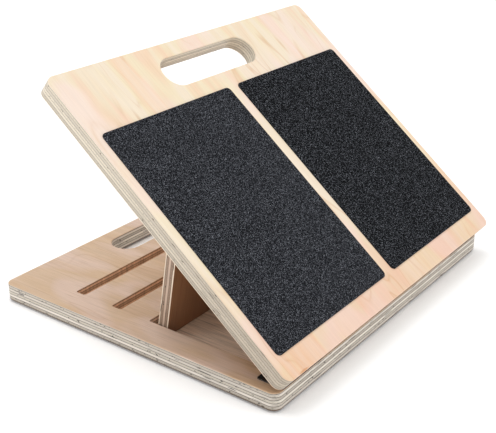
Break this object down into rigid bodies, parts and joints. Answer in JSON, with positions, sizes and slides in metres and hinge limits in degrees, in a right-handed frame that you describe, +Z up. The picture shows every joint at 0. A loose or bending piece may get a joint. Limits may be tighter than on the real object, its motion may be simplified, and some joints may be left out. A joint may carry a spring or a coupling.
{
  "type": "slant board",
  "caption": "Folding plywood slant board: a top board with grip pads, hinged to a slotted base and held up by a hinged prop board, with hand holes.",
  "frame": {"origin": "on the surface that the object stands on, at the centre of its footprint", "axes": "+X along the hinge line, +Y from the hinge edge to the hand holes, +Z up"},
  "size_m": [0.4, 0.3518, 0.2499],
  "materials": {
    "top_plywood": "birch plywood, pale face with a satin clear coat",
    "base_plywood": "birch plywood, tan face with a satin clear coat",
    "prop_plywood": "birch plywood, satin clear coat",
    "grip_surface": "charcoal anti-slip sheet with fine grey grit",
    "hinge_leaf_steel": "black satin coat with bright worn edges",
    "pin_steel": "bright drawn steel",
    "screw_steel": "black oxide",
    "foot_rubber": "matt black"
  },
  "bodies": {
    "base": {"base_board": "base_plywood", "rubber_foot_front_left": "foot_rubber", "rubber_foot_front_right": "foot_rubber", "rubber_foot_rear_left": "foot_rubber", "rubber_foot_rear_right": "foot_rubber", "front_hinge_left_base_leaf": "hinge_leaf_steel", "front_hinge_left_pin": "pin_steel", "front_hinge_right_base_leaf": "hinge_leaf_steel", "front_hinge_right_pin": "pin_steel", "base_leaf_screws": "screw_steel"},
    "top": {"top_board": "top_plywood", "grip_pad_left": "grip_surface", "grip_pad_right": "grip_surface", "front_hinge_left_top_leaf": "hinge_leaf_steel", "front_hinge_right_top_leaf": "hinge_leaf_steel", "top_leaf_screws": "screw_steel", "prop_hinge_left_board_leaf": "hinge_leaf_steel", "prop_hinge_left_pin": "pin_steel", "prop_hinge_right_board_leaf": "hinge_leaf_steel", "prop_hinge_right_pin": "pin_steel", "board_leaf_screws": "screw_steel"},
    "prop": {"prop_board": "prop_plywood", "prop_hinge_left_prop_leaf": "hinge_leaf_steel", "prop_hinge_right_prop_leaf": "hinge_leaf_steel", "prop_leaf_screws": "screw_steel"}
  },
  "joints": [
    {"name": "board_tilt", "type": "hinge", "parent": "base", "child": "top", "pos_m": [0, -0.16312, 0.0217], "axis": [1, 0, 0], "range_deg": [0, 60.6]},
    {"name": "prop_swing", "type": "hinge", "parent": "top", "child": "prop", "pos_m": [0, -0.03683, 0.12397], "axis": [1, 0, 0], "range_deg": [-60.6, 0]}
  ],
  "couplings": [
    {"joint": "prop_swing", "follows": "board_tilt", "ratio": -1}
  ]
}
